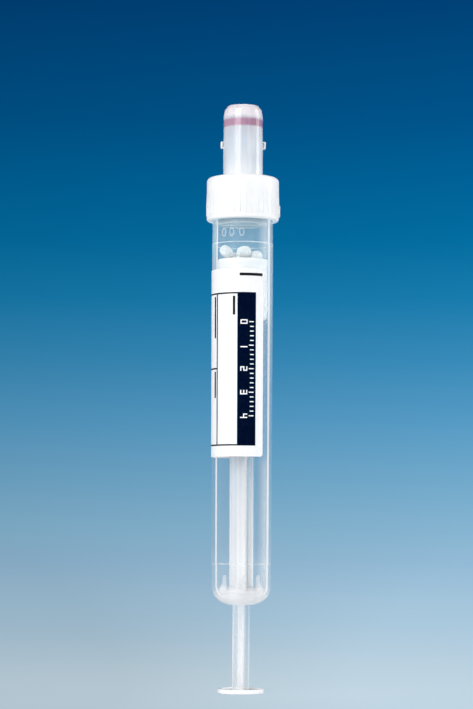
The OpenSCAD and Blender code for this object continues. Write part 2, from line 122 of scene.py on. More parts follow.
def turned(name, corners, segments, steps=5):
    # turns a closed line of (radius, height) in millimetres about Z
    bm = bmesh.new()
    rings = []
    for point in roundedLine(corners, steps):
        r, z = point.x * mm, point.y * mm
        around = range(segments if r > 1e-7 else 1)
        rings.append([
            bm.verts.new((r * math.sin(2 * math.pi * k / segments),
                          -r * math.cos(2 * math.pi * k / segments), z))
            for k in around
        ])
    for low, high in zip(rings, rings[1:] + rings[:1]):
        for k in range(segments):
            n = (k + 1) % segments
            if len(low) == 1 and len(high) == 1:
                break
            if len(low) == 1:
                bm.faces.new((low[0], high[n], high[k]))
            elif len(high) == 1:
                bm.faces.new((low[k], low[n], high[0]))
            else:
                bm.faces.new((low[k], low[n], high[n], high[k]))
    return evenShading(finishMesh(name, bm))


def loft(name, rings, sharp=40):
    # joins rings of points in millimetres and closes both ends
    bm = bmesh.new()
    made = [[bm.verts.new(Vector(point) * mm) for point in ring] for ring in rings]
    count = len(made[0])
    for low, high in zip(made, made[1:]):
        for k in range(count):
            n = (k + 1) % count
            bm.faces.new((low[k], low[n], high[n], high[k]))
    for ring in (made[0], made[-1]):
        middle = bm.verts.new(sum((v.co for v in ring), Vector()) / count)
        for k in range(count):
            bm.faces.new((ring[k], ring[(k + 1) % count], middle))
    return evenShading(finishMesh(name, bm, sharp))


def moved(piece, matrix):
    # puts a turn or a shift into the mesh, so the object stays at the origin
    piece.data.transform(matrix)
    return piece


def baked(name, source):
    # turns what a piece's modifiers make into a plain mesh
    bpy.context.view_layer.update()
    evaluated = source.evaluated_get(bpy.context.evaluated_depsgraph_get())
    mesh = bpy.data.meshes.new_from_object(evaluated)
    mesh.name = name
    bpy.data.objects.remove(source)
    return makeObject(name, mesh)


class Plan:
    # a geometry tree with named inputs
    def __init__(self, name):
        self.tree = bpy.data.node_groups.new(name, "GeometryNodeTree")
        self.tree.interface.new_socket("Geometry", in_out="OUTPUT", socket_type="NodeSocketGeometry")
        self.start = self.tree.nodes.new("NodeGroupInput")
        self.end = self.tree.nodes.new("NodeGroupOutput")

    def size(self, name, kind="Float"):
        self.tree.interface.new_socket(name, in_out="INPUT", socket_type="NodeSocket" + kind)
        return self.start.outputs[name]

    def node(self, kind, settings=None, values=None, out=0):
        made = self.tree.nodes.new(kind)
        for key, value in (settings or {}).items():
            setattr(made, key, value)
        for key, value in (values or {}).items():
            if isinstance(value, bpy.types.NodeSocket):
                self.tree.links.new(value, made.inputs[key])
            else:
                made.inputs[key].default_value = value
        return made.outputs[out]

    def make(self, name, values, geometry, material):
        # closes the tree, runs it on an empty carrier and returns the plain mesh
        solid = self.node("GeometryNodeRealizeInstances", values={"Geometry": geometry})
        painted = self.node("GeometryNodeSetMaterial", values={"Geometry": solid, "Material": material})
        self.tree.links.new(painted, self.end.inputs["Geometry"])
        carrier = makeObject(name + "Carrier", bpy.data.meshes.new(name))
        modifier = carrier.modifiers.new(name, "NODES")
        modifier.node_group = self.tree
        for item in self.tree.interface.items_tree:
            if item.in_out == "INPUT":
                modifier[item.identifier] = values[item.name]
        return baked(name, carrier)


def turnedCopies(plan, shape, number):
    # instances of a shape, spread evenly round Z
    points = plan.node("GeometryNodePoints", values={"Count": number})
    step = plan.node("ShaderNodeMath", {"operation": "DIVIDE"}, {0: 2 * math.pi, 1: number})
    index = plan.node("GeometryNodeInputIndex")
    angle = plan.node("ShaderNodeMath", {"operation": "MULTIPLY"}, {0: index, 1: step})
    turn = plan.node("ShaderNodeCombineXYZ", values={"Z": angle})
    return plan.node("GeometryNodeInstanceOnPoints",
                     values={"Points": points, "Instance": shape, "Rotation": turn})


def aroundAxis(name, source, count, paint):
    # copies of a piece all round Z
    plan = Plan(name + "Plan")
    piece, number = plan.size("Piece", "Object"), plan.size("Count", "Int")
    finish = plan.size("Finish", "Material")
    shape = plan.node("GeometryNodeObjectInfo", values={"Object": piece}, out="Geometry")
    copies = turnedCopies(plan, shape, number)
    made = plan.make(name, {"Piece": source, "Count": count, "Finish": paint}, copies, finish)
    bpy.data.objects.remove(source)
    return evenShading(made)


def threadRidge(name, sizes, paint):
    # a right-handed ridge that climbs round Z, once for each start of the thread
    plan = Plan(name + "Plan")
    lead, turns = plan.size("Lead"), plan.size("Turns")
    radius, ridge = plan.size("Radius"), plan.size("Ridge")
    low, starts = plan.size("Low"), plan.size("Starts", "Int")
    finish = plan.size("Finish", "Material")
    rise = plan.node("ShaderNodeMath", {"operation": "MULTIPLY"}, {0: lead, 1: turns})
    path = plan.node("GeometryNodeCurveSpiral",
                     values={"Resolution": 64, "Rotations": turns, "Start Radius": radius,
                             "End Radius": radius, "Height": rise, "Reverse": True})
    # the ridge runs out at both ends
    share = plan.node("GeometryNodeSplineParameter", out="Factor")
    fromEnd = plan.node("ShaderNodeMath", {"operation": "PINGPONG"}, {0: share, 1: 0.5})
    taper = plan.node("ShaderNodeMapRange", {"interpolation_type": "SMOOTHSTEP"},
                      {"Value": fromEnd, "From Max": 0.07, "To Min": 0.3, "To Max": 1.0})
    outline = plan.node("GeometryNodeCurvePrimitiveCircle", values={"Resolution": 10, "Radius": ridge})
    body = plan.node("GeometryNodeCurveToMesh",
                     values={"Curve": path, "Profile Curve": outline, "Scale": taper, "Fill Caps": True})
    copies = turnedCopies(plan, body, starts)
    lift = plan.node("ShaderNodeCombineXYZ", values={"Z": low})
    placed = plan.node("GeometryNodeTransform", values={"Geometry": copies, "Translation": lift})
    values = {"Lead": sizes["lead"] * mm, "Turns": sizes["turns"], "Radius": sizes["radius"] * mm,
              "Ridge": sizes["ridge"] * mm, "Low": (rimZ - sizes["below"]) * mm,
              "Starts": sizes["starts"], "Finish": paint}
    return plan.make(name, values, placed, finish)


def srgb(red, green, blue):
    # a colour as it looks on screen, 0 to 255
    def linear(value):
        value /= 255
        return value / 12.92 if value <= 0.04045 else ((value + 0.055) / 1.055) ** 2.4
    return linear(red), linear(green), linear(blue), 1.0


class Wire:
    # a socket that stands in an expression; each operator adds its Math node
    def __init__(self, paint, socket):
        self.paint, self.socket = paint, socket

    def __add__(self, other):
        return self.paint.math("ADD", self, other)

    def __sub__(self, other):
        return self.paint.math("SUBTRACT", self, other)

    def __rsub__(self, other):
        return self.paint.math("SUBTRACT", other, self)

    def __mul__(self, other):
        return self.paint.math("MULTIPLY", self, other)

    def __truediv__(self, other):
        return self.paint.math("DIVIDE", self, other)

    def __rtruediv__(self, other):
        return self.paint.math("DIVIDE", other, self)

    def __pow__(self, other):
        return self.paint.math("POWER", self, other)

    __radd__ = __add__
    __rmul__ = __mul__


class Paint:
    # the node tree of a material or of the world
    def __init__(self, owner):
        self.owner = owner
        owner.use_nodes = True
        self.tree = owner.node_tree
        self.tree.nodes.clear()

    def node(self, kind, settings=None, values=None, out=0):
        made = self.tree.nodes.new(kind)
        for key, value in (settings or {}).items():
            if key == "stops":
                for k, (place, colour) in enumerate(value):
                    stop = made.color_ramp.elements[k] if k < 2 else made.color_ramp.elements.new(place)
                    stop.position, stop.color = place, colour
            else:
                setattr(made, key, value)
        for key, value in (values or {}).items():
            if isinstance(value, Wire):
                self.tree.links.new(value.socket, made.inputs[key])
            else:
                made.inputs[key].default_value = value
        return Wire(self, made.outputs[out]) if len(made.outputs) else None

    def math(self, operation, first, second=0.0):
        return self.node("ShaderNodeMath", {"operation": operation}, {0: first, 1: second})

    def least(self, first, second):
        return self.math("MINIMUM", first, second)

    def most(self, first, second):
        return self.math("MAXIMUM", first, second)

    def spot(self):
        return self.node("ShaderNodeTexCoord", out="Object")

    def place(self):
        # a spot on the piece, with its x, y and z
        spot = self.spot()
        parts = self.node("ShaderNodeSeparateXYZ", values={"Vector": spot})
        return spot, *(Wire(self, parts.socket.node.outputs[k]) for k in range(3))

    def radius(self, x, y):
        return self.math("SQRT", x * x + y * y)

    def ease(self, value, low, high, first=0.0, last=1.0):
        # a smooth change from first to last while a value goes from low to high
        return self.node("ShaderNodeMapRange", {"interpolation_type": "SMOOTHSTEP"},
                         {"Value": value, "From Min": low, "From Max": high,
                          "To Min": first, "To Max": last})

    def climb(self, value, base, low, high, first=0.0, last=1.0):
        # the same between two places, in millimetres from a base
        return self.ease(value, (base + low) * mm, (base + high) * mm, first, last)

    def band(self, value, middle, half, soft):
        # 1 inside a band and 0 outside it, with soft edges
        away = self.math("ABSOLUTE", value - middle)
        return self.ease(away, half, half + soft, 1.0, 0.0)

    def colour(self, factor, first, second):
        return self.node("ShaderNodeMix", {"data_type": "RGBA"}, {0: factor, 6: first, 7: second}, out=2)

    def noise(self, spot, scale, detail, stretch=(1, 1, 1)):
        placed = self.node("ShaderNodeMapping", values={"Vector": spot, "Scale": stretch})
        return self.node("ShaderNodeTexNoise", values={"Vector": placed, "Scale": scale, "Detail": detail})

    def bump(self, value, depth, strength):
        return self.node("ShaderNodeBump", values={"Height": value, "Distance": depth, "Strength": strength})

    def facing(self):
        # 0 where the surface faces the eye, 1 where it is seen edge on
        return self.node("ShaderNodeLayerWeight", values={"Blend": 0.5}, out="Facing")

    def finish(self, values):
        shader = self.node("ShaderNodeBsdfPrincipled", values=values)
        self.node("ShaderNodeOutputMaterial", values={"Surface": shader})
        return self.owner


def newPaint(name):
    return Paint(bpy.data.materials.new(name))


def wear(paint, spot, scale, low, high):
    # faint handling marks, as a roughness between two values
    marks = paint.noise(spot, scale, 4.0)
    return paint.ease(marks, 0.35, 0.7, low, high)


def dress(piece, body, replaced=(), paint=None):
    if paint:
        piece.data.materials.clear()
        piece.data.materials.append(paint)
    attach(piece, body)
    if replaced:
        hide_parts(replaced)
    return piece


def boss(name, width, tall, corner, inner, outer, edge, lift, turn):
    # rounded plate that stands out of a round wall, from radius inner to radius outer
    def outline(x, inset):
        w, h = width / 2 - inset, tall / 2 - inset
        flat = roundedLine([(w, -h, corner), (w, h, corner), (-w, h, corner), (-w, -h, corner)])
        return [(x, p.x, p.y) for p in flat]
    rings = [outline(inner, 0), outline(outer - edge, 0)]
    for k in range(1, 5):
        a = math.radians(90 * k / 4)
        rings.append(outline(outer - edge + edge * math.sin(a), edge * (1 - math.cos(a))))
    piece = loft(name, rings)
    turning = Matrix.Rotation(math.radians(turn), 4, "Z")
    return moved(piece, turning @ Matrix.Translation((0, 0, lift * mm)))


tube = {
    "lowRadius": 6.4, "topRadius": 6.575, "ringStep": 0.06, "ringEase": 0.03,
    "ringLow": 8.9, "ringTop": 77.4, "domeHeight": 4.7, "domePower": 2.4,
    "floor": 1.4, "bore": 5.5, "mouth": 6.15, "mouthLength": 6.9, "rimRound": 0.25,
    "rodHole": 2.795, "collarWall": 0.8, "collarHeight": 4.2,
    "marks": (-37.5, -21, -1.8), "markRise": 79.5, "markWidth": 0.95, "markHeight": 1.65,
    "markRing": 0.5, "markLine": 0.09,
}
# the clear wall: spans in millimetres from the tube's foot or axis, what it covers from 0 to 1, and tints;
# the bore line, the ring highlights, the right-hand sheen with its dip and the paler tint are painted light
wall = {
    "hazeSpan": (22, 72), "milkSpan": (8, 14), "footSpan": (0.8, 4.6), "rightSpan": (2.8, 5.4), "dipAt": 46,
    "lowHaze": 0.03, "highHaze": 0.11, "footHaze": 0.88, "footOutside": 0.25,
    "rightSheen": 0.15, "sheenDip": 0.12, "lowEdge": 0.07, "highEdge": 0.36, "rightEdge": 0.14,
    "line": 0.56, "lineAt": 0.465, "lineHalf": 0.03, "lineSoft": 0.025,
    "topRingHighlight": 0.4, "lowRingHighlight": 0.25, "insideEdge": 0.3, "most": 0.97,
    "grey": srgb(205, 196, 202), "pale": srgb(214, 246, 254), "litTint": srgb(232, 241, 248),
    "milk": srgb(250, 250, 252),
}


def dome(radius, tall, base, inner, steps=16):
    # rounded bottom from radius inner outwards
    power = tube["domePower"]
    start = math.acos((inner / radius) ** (power / 2))
    line = []
    for k in range(steps + 1):
        a = start * (1 - k / steps)
        line.append((radius * math.cos(a) ** (2 / power),
                     base + tall - tall * math.sin(a) ** (2 / power)))
    return line


def clearPaint():
    w = wall
    paint = newPaint("clearPlastic")
    spot, x, y, z = paint.place()
    facing = paint.facing()
    outside = paint.climb(paint.radius(x, y), tube["bore"], 0.3, 0.4)
    right = paint.climb(x, 0, *w["rightSpan"])
    high = paint.climb(z, tubeZ, *w["hazeSpan"])
    low = paint.climb(z, tubeZ, *w["milkSpan"], 1.0, 0.0)
    foot = paint.climb(z, tubeZ, *w["footSpan"], 1.0, 0.0)
    streaks = paint.noise(spot, 900, 2.0, (1, 1, 0.02))
    uneven = paint.ease(streaks, 0.3, 0.7, 0.75, 1.2)
    haze = w["lowHaze"] + high * (w["highHaze"] - w["lowHaze"])
    haze = haze + foot * (w["footHaze"] - outside * w["footOutside"])
    # the wall is seen edge on at both sides and is denser there; that band also carries painted reflection,
    # stronger high up and weaker on the right. The bore's bright line is a painted highlight
    edge = paint.ease(facing, 0.5, 0.57) * outside
    side = edge * (w["lowEdge"] + high * (w["highEdge"] - right * w["rightEdge"])) * uneven
    line = paint.band(facing, w["lineAt"] + right * 0.045, w["lineHalf"] + right * 0.015, w["lineSoft"])
    line = line * (w["line"] + right * 0.04)
    # painted highlights along the two ring steps
    rings = (paint.band(z, (tubeZ + tube["ringTop"]) * mm, 0.06 * mm, 0.08 * mm) * w["topRingHighlight"]
             + paint.band(z, (tubeZ + tube["ringLow"]) * mm, 0.06 * mm, 0.08 * mm) * w["lowRingHighlight"])
    # painted sheen on the right-hand side, with painted shade where it dips over the middle of the tube
    dip = paint.band(z, (tubeZ + w["dipAt"]) * mm, 13 * mm, 4 * mm)
    cover = haze + right * (w["rightSheen"] - dip * w["sheenDip"]) * (1 - edge) + side
    cover = cover + (line + rings * uneven) * outside
    cover = cover + paint.ease(facing, 0.8, 0.95) * w["insideEdge"] * (1 - outside)
    # greyer low down and paler high up; paler still on the right, as a painted sheen, and in front of the
    # white piston, as painted light
    tint = paint.colour(high, w["grey"], w["pale"])
    inFront = paint.band(z, (pistonZ + 6.4) * mm, 6.4 * mm, 0.6 * mm)
    tint = paint.colour(paint.most(right, inFront) * 0.7, tint, w["litTint"])
    # the foot is milky white, and the painted highlights of the bore line and the ring steps are white as
    # well
    white = paint.most(low, paint.most(line, rings) * 2)
    grain = paint.noise(spot, 700, 3.0, (1, 1, 0.15))
    return paint.finish({
        "Base Color": paint.colour(paint.least(white, 1.0), tint, w["milk"]),
        "Roughness": wear(paint, spot, 500, 0.05, 0.16), "IOR": 1.5,
        "Alpha": paint.least(cover, w["most"]), "Normal": paint.bump(grain, 0.01 * mm, 0.4),
    })


def makeTube():
    t = tube
    ringLow, ringTop = tubeZ + t["ringLow"], tubeZ + t["ringTop"]
    mouthZ, collarTop = rimZ - t["mouthLength"], tubeZ + t["collarHeight"]
    bottom = t["lowRadius"] - t["ringStep"]
    shoulder = t["topRadius"] - t["ringStep"]
    collarOut = t["rodHole"] + t["collarWall"]
    line = dome(bottom, t["domeHeight"], tubeZ, t["rodHole"])
    line += [
        (bottom, ringLow - t["ringEase"]), (t["lowRadius"], ringLow + t["ringEase"]),
        (t["topRadius"], ringTop - t["ringEase"]), (shoulder, ringTop + t["ringEase"]),
        (shoulder, mouthZ, 0.15), (t["mouth"], mouthZ, 0.2),
        (t["mouth"], rimZ, t["rimRound"]), (t["bore"], rimZ, t["rimRound"]),
    ]
    line += reversed(dome(t["bore"], t["domeHeight"] - t["floor"], tubeZ + t["floor"], collarOut))
    line += [(collarOut, collarTop, 0.15), (t["rodHole"], collarTop, 0.15)]
    piece = dress(turned("tubeWall", line, 192), "barrel", "tube", clear)
    piece.visible_shadow = False  # light reaches what is inside the clear wall


finger = {
    "count": 4, "inner": 3.145, "outer": 3.945, "reach": 4.595, "width": 1.3,
    "low": 1.6, "widest": 3.75, "gusset": 5.2, "top": 6.5, "round": 0.12, "spread": 1.2,
}


def fingerPaint():
    # denser towards the root of each finger
    paint = newPaint("clearPlasticThick")
    spot, _, _, z = paint.place()
    root = paint.climb(z, tubeZ, 3.2, 5.4, 1.0, 0.0)
    cover = 0.27 + paint.ease(paint.facing(), 0.2, 0.9) * 0.4 + root * 0.28
    return paint.finish({
        "Base Color": srgb(248, 250, 252), "Roughness": wear(paint, spot, 900, 0.08, 0.2),
        "Alpha": cover,
    })


clear, thick = clearPaint(), fingerPaint()


def makeFingers():
    # a latch finger with rounded flanks, then its copies round the rod hole
    f = finger
    flat = roundedLine([
        (f["inner"], tubeZ + f["low"]), (f["reach"], tubeZ + f["low"]),
        (f["reach"], tubeZ + f["widest"], 0.5), (f["outer"], tubeZ + f["gusset"], 0.9),
        (f["outer"], tubeZ + f["top"], 0.25), (f["inner"], tubeZ + f["top"], 0.15),
    ])
    middle = sum(flat, Vector((0, 0))) / len(flat)
    half, edge = f["width"] / 2, f["round"]
    rings = []
    for y, inset in ((-half, edge), (-half + edge * 0.3, edge * 0.3), (-half + edge, 0),
                     (half - edge, 0), (half - edge * 0.3, edge * 0.3), (half, edge)):
        share = 1 - inset / f["spread"]
        rings.append([(middle.x + (p.x - middle.x) * share, y, middle.y + (p.y - middle.y) * share)
                      for p in flat])
    piece = aroundAxis("latchFingers", loft("latchFinger", rings), f["count"], thick)
    dress(piece, "barrel", "tube")


def makeMarks():
    # plain raised rings on the wall below the cap
    t = tube
    face = t["topRadius"] - t["ringStep"]
    corners = [(t["markRing"] + t["markLine"] * math.cos(a), t["markLine"] * math.sin(a))
               for a in (2 * math.pi * k / 8 for k in range(8))]
    shape = Matrix.Diagonal((t["markWidth"], t["markHeight"], 1, 1))
    for k, turn in enumerate(t["marks"]):
        place = Matrix.Rotation(math.radians(turn), 4, "Z")
        place @= Matrix.Translation((0, -face * mm, (tubeZ + t["markRise"]) * mm))
        place @= Matrix.Rotation(math.radians(90), 4, "X")
        mark = moved(turned("raisedMark%d" % (k + 1), corners, 32), place @ shape)
        dress(mark, "barrel", "tube", thick)


# the cap's ridges run half a pitch above the tube's own; low ends in millimetres below the rim
tubeRidges = {"lead": 6, "starts": 2, "turns": 0.86, "radius": 6.08, "ridge": 0.42, "below": 6.1}
capRidges = {"lead": 6, "starts": 2, "turns": 0.8, "radius": 6.7, "ridge": 0.36, "below": 4.5}

makeTube()
makeFingers()
makeMarks()
dress(threadRidge("tubeThread", tubeRidges, clear), "barrel", "tube")
print("tube, latch fingers and thread made")


cap = {
    "radius": 7.775, "inner": 6.645, "height": 9.4, "roof": 1.8, "edge": 0.9, "foot": 1.03,
    "ribs": 38, "ribRadius": 0.32, "ribOut": 0.1, "ribDrop": 0.15, "ribFull": 2.6, "ribFade": 4.0,
    "padWidth": 2.4, "padOut": 0.26,
    "lugTurn": 4, "lugWidth": 1.9, "lugHeight": 1.5, "lugOut": 0.57, "lugTop": 7.95,
}
neck = {
    "radius": 4.24, "lowRadius": 4.30, "shoulder": 2.3, "shoulderEdge": 0.95, "shoulderRadius": 4.0,
    "topRadius": 3.36, "passage": 3.2, "port": 2.1, "portDepth": 3.0, "pocket": 3.515,
    "plug": 5.45, "plugWall": 0.95, "sunk": 0.2, "cover": 0.66,
    # painted shade: the lanes are darker bands high on the neck, beside its highlights
    "shadeLanes": ((-2.7, 0.3, 0.6), (0.2, 0.4, 0.5)),  # darker lanes: place along X, half width, softness
}
# the neck's paint needs the septum's place too
septum = {"radius": 3.475, "thick": 1.8, "dimple": 1.5, "depth": 0.3}
tones = {
    "white": srgb(248, 248, 249), "brightWhite": srgb(252, 252, 252), "lug": srgb(246, 249, 251),
    "streak": srgb(228, 237, 247), "milk": srgb(246, 248, 251), "shadeLane": srgb(214, 228, 240),
    "root": srgb(250, 251, 252), "crown": srgb(244, 238, 243),
    "litRose": srgb(184, 117, 149), "shadedRose": srgb(165, 86, 129),
    # the skirt's painted glow: none outside, and a faint one on its inside
    "dark": (0.0, 0.0, 0.0, 1.0), "through": (0.07, 0.14, 0.21, 1.0),
}


def whitePaint():
    paint = newPaint("whitePlastic")
    spot, x, y, z = paint.place()
    mottle = paint.noise(spot, 260, 3.0)
    colour = paint.colour(paint.ease(mottle, 0.3, 0.7), tones["white"], tones["brightWhite"])
    grain = paint.noise(spot, 2600, 2.0)
    # painted glow: a faint emission on the skirt's inside stands in for the light that the thin skirt lets
    # through
    inside = paint.climb(paint.radius(x, y), cap["inner"], 0.1, 0.45, 1.0, 0.0)
    below = paint.climb(z, roofZ - cap["roof"], 0.1, 0.3, 1.0, 0.0)
    return paint.finish({
        "Base Color": colour, "Roughness": wear(paint, spot, 700, 0.28, 0.42),
        "Subsurface Weight": 0.25, "Subsurface Radius": (1.0, 0.95, 0.9), "Subsurface Scale": 0.8 * mm,
        "Emission Color": paint.colour(inside * below, tones["dark"], tones["through"]),
        "Emission Strength": 1.0, "Normal": paint.bump(grain, 0.01 * mm, 0.5),
    })


def neckPaint():
    paint = newPaint("milkyPlastic")
    spot, x, _, z = paint.place()
    septumTop = septumZ + septum["thick"]
    root = paint.climb(z, roofZ, 0, 4.5, 1.0, 0.0)
    high = paint.climb(z, roofZ, 3, 7.5, 0.25, 0.8)
    plug = paint.climb(z, roofZ, -3.5, -2, 1.0, 0.0)
    lip = paint.climb(z, plugZ, 0.2, 0.4, 1.0, 0.0)
    crown = paint.climb(z, septumTop, 0, 0.8)
    streaks = paint.noise(spot, 500, 2.0, (1, 1, 0.03))
    stripes = paint.ease(streaks, 0.35, 0.65)
    left, middle = (paint.band(x, *(size * mm for size in shadeLane)) for shadeLane in neck["shadeLanes"])
    # the rubber shows through as a rose band, and tints what is below it; the rose is painted lighter on the
    # left, where the light falls, and darker on the right
    glow = paint.band(z, (septumZ + septum["thick"] / 2) * mm, 0.5 * mm, 0.75 * mm)
    below = paint.climb(z, septumZ, -3.5, -0.1) * (1 - crown) * 0.12
    rose = paint.colour(paint.climb(x, 0, -1, 2), tones["litRose"], tones["shadedRose"])
    cover = neck["cover"] + root * 0.15 + crown * 0.15 + glow * 0.1 + stripes * 0.12
    cover = paint.least(cover + paint.facing() ** 3 * 0.3, 1.0) * (1 - plug * (0.8 - lip * 0.25))
    milk = paint.colour(stripes, tones["streak"], tones["milk"])
    # painted shade in the two darker lanes
    milk = paint.colour((left + middle) * high, milk, tones["shadeLane"])
    milk = paint.colour(root * 0.45, milk, tones["root"])
    milk = paint.colour(crown, milk, tones["crown"])
    return paint.finish({
        "Base Color": paint.colour(paint.most(glow * 0.8, below), milk, rose),
        "Roughness": wear(paint, spot, 700, 0.12, 0.22), "Alpha": cover,
        "Coat Weight": 0.55, "Coat Roughness": 0.12,
    })


def lugPaint():
    # clear in the middle of each lug, white along its edges
    paint = newPaint("lugPlastic")
    spot, x, y, z = paint.place()
    half = cap["lugHeight"] / 2
    rim = paint.climb(paint.radius(x, y), neck["radius"], 0.34, 0.42)
    away = paint.math("ABSOLUTE", z - (roofZ + cap["lugTop"] - half) * mm)
    edge = paint.most(rim, paint.climb(away, half, -0.27, -0.17))
    return paint.finish({
        "Base Color": tones["lug"], "Roughness": wear(paint, spot, 900, 0.08, 0.2),
        "Alpha": 0.3 + edge * 0.65,
    })


white, milky, lugClear = whitePaint(), neckPaint(), lugPaint()


def makeSkirt():
    # the skirt and the roof, which runs a little into the neck
    c = cap
    low, inside = roofZ - c["height"], roofZ - c["roof"]
    root = neck["lowRadius"]
    sunk = root - neck["sunk"]
    line = [
        (c["inner"], low, 0.05), (c["radius"], low, c["foot"]), (c["radius"], roofZ, c["edge"]),
        (root, roofZ, 0.3), (root, roofZ + 0.45), (sunk, roofZ + 0.3), (sunk, inside),
        (c["inner"], inside, 0.3),
    ]
    dress(turned("capSkirt", line, 228, 8), "cap", "screw_cap", white)


def makeRibs():
    # one rib, as arcs at a few heights that fade upwards, then its copies
    c = cap
    low = roofZ - c["height"] + c["foot"]
    levels = [(0, -0.02), (0.12, 0.07), (0.3, c["ribOut"]), (c["ribFull"], c["ribOut"])]
    for k in range(1, 9):
        levels.append((c["ribFull"] + c["ribFade"] * k / 8, c["ribOut"] - c["ribDrop"] * k / 8))
    rings = []
    for rise, out in levels:
        middle = c["radius"] + out - c["ribRadius"]
        arc = [math.radians(-90 + 180 * k / 12) for k in range(13)]
        rings.append([(middle + c["ribRadius"] * math.cos(a), c["ribRadius"] * math.sin(a), low + rise)
                      for a in arc])
    piece = aroundAxis("gripRibs", loft("gripRib", rings, 60), c["ribs"], white)
    dress(piece, "cap", "screw_cap")


def makeNeck():
    n = neck
    r, top = n["radius"], neckZ
    inside = roofZ - cap["roof"]
    pocketTop = top - n["portDepth"]
    plugIn = n["plug"] - n["plugWall"]
    line = [
        (plugIn, plugZ, 0.15), (n["plug"] - 0.35, plugZ), (n["plug"], plugZ + 0.35, 0.2),
        (n["plug"], inside - 0.1), (n["lowRadius"] - 0.05, roofZ - 0.5),
        (n["lowRadius"], roofZ + cap["lugTop"] - 1), (r, roofZ + cap["lugTop"] + 1),
        (r, top - n["shoulder"], 0.8), (n["shoulderRadius"], top - n["shoulderEdge"], 0.6),
        (n["topRadius"], top - 0.08, 0.1), (n["topRadius"] - 0.5, top, 0.3),
        (n["port"], top, 0.3), (n["port"], pocketTop), (n["pocket"], pocketTop),
        (n["pocket"], septumZ - 0.04), (n["passage"], septumZ - 0.3, 0.1),
        (n["passage"], roofZ), (plugIn, inside, 0.2),
    ]
    dress(turned("needleNeck", line, 160, 6), "cap", "screw_cap", milky)


def makeBosses():
    c, root = cap, neck["lowRadius"]
    low = roofZ - c["height"] + c["foot"]
    pad = boss("stopPad", width=c["padWidth"], tall=c["padWidth"], corner=0.35,
               inner=c["radius"] - 0.3, outer=c["radius"] + c["padOut"], edge=0.15,
               lift=low + c["padWidth"] / 2, turn=0)
    dress(pad, "cap", "screw_cap", white)
    for name, side, corner in (("lugRight", 0, 0.2), ("lugLeft", 180, 0.55)):
        lug = boss(name, width=c["lugWidth"], tall=c["lugHeight"], corner=corner,
                   inner=root - neck["sunk"], outer=root + c["lugOut"], edge=0.2,
                   lift=roofZ + c["lugTop"] - c["lugHeight"] / 2, turn=side + c["lugTurn"])
        dress(lug, "cap", "screw_cap", lugClear)


makeSkirt()
makeRibs()
makeNeck()
makeBosses()
dress(threadRidge("capThread", capRidges, white), "cap", "screw_cap")
print("screw cap made")


def rubberPaint():
    paint = newPaint("pinkRubber")
    spot = paint.spot()
    speckle = paint.noise(spot, 1500, 3.0)
    colour = paint.colour(paint.ease(speckle, 0.3, 0.7), srgb(150, 52, 100), srgb(168, 66, 114))
    return paint.finish({
        "Base Color": colour, "Roughness": 0.55, "Sheen Weight": 0.15,
        "Normal": paint.bump(speckle, 0.02 * mm, 0.6),
    })


def makeSeptum():
    s = septum
    low, top = septumZ, septumZ + s["thick"]
    flat = s["dimple"] - s["depth"]
    line = [
        (0, low + s["depth"]), (flat, low + s["depth"], 0.3), (s["dimple"], low, 0.2),
        (s["radius"], low, 0.25), (s["radius"], top, 0.25),
        (s["dimple"], top, 0.2), (flat, top - s["depth"], 0.3), (0, top - s["depth"]),
    ]
    dress(turned("septumDisc", line, 96), "septum_carrier", "septum", rubberPaint())


makeSeptum()
print("septum made")


piston = {
    "height": 12.8, "radius": 5.35, "lip": 5.47, "wall": 1.0, "ridges": (1.95, 6.4),
    "hollow": 4.6, "hub": 2.9, "socket": 8.1, "dish": 9.1, "dishRadius": 5.02, "bowl": 1.9,
    "bowlMiddle": 2.6, "bowlRise": 0.7, "socketRadius": 1.75, "socketLip": 5.3, "socketMouth": 1.35,
}


def pistonPaint():
    paint = newPaint("satinWhite")
    spot = paint.spot()
    mottle = paint.noise(spot, 300, 3.0)
    colour = paint.colour(paint.ease(mottle, 0.3, 0.7), srgb(250, 251, 252), srgb(254, 254, 254))
    return paint.finish({
        "Base Color": colour, "Roughness": wear(paint, spot, 600, 0.3, 0.45),
        "Subsurface Weight": 0.2, "Subsurface Radius": (1.0, 0.95, 0.9), "Subsurface Scale": 0.6 * mm,
    })


def makePiston():
    p = piston
    z, r, lip = pistonZ, p["radius"], p["lip"]
    hollow, top = r - p["wall"], z + p["height"]

    def ridge(low):
        return [(r, z + low), (lip, z + low + 0.15, 0.1), (lip, z + low + 0.55, 0.1), (r, z + low + 0.7)]
    line = [(hollow, z, 0.1), (r - 0.2, z, 0.15), (r, z + 1.8, 0.5)]
    for low in p["ridges"]:
        line += ridge(low)
    line += [
        (r, top - 1.4, 0.3), (lip, top - 0.7, 0.2), (lip, top - 0.15, 0.1), (lip - 0.15, top, 0.1),
        (p["dishRadius"], top, 0.12), (p["dishRadius"] - 0.1, z + p["dish"] + p["bowl"], 0.5),
        (p["bowlMiddle"], z + p["dish"] + p["bowlRise"], 0.6), (0, z + p["dish"]), (0, z + p["socket"]),
        (p["socketRadius"], z + p["socket"]), (p["socketRadius"], z + p["socketLip"]),
        (p["socketMouth"], z + p["socketLip"]), (p["socketMouth"], z + p["hollow"], 0.1),
        (p["hub"], z + p["hollow"], 0.15), (p["hub"], z + p["socket"], 0.2), (hollow, z + p["socket"], 0.2),
    ]
    dress(turned("pistonBody", line, 160), "plunger", "piston", pistonPaint())


makePiston()
print("piston made")


rod = {
    "stem": 1.88, "stemRib": 1.45, "shaft": 2.625, "shaftRib": 2.05, "corner": 0.16, "fillet": 0.3,
    "stepRise": 1.4, "step": 1.0, "disc": 4.9, "discThick": 1.0, "discEdge": 0.25, "rim": 0.4,
    "dish": 0.3, "waist": 1.05, "waistLength": 1.0, "head": 1.25, "snap": 1.65,
}


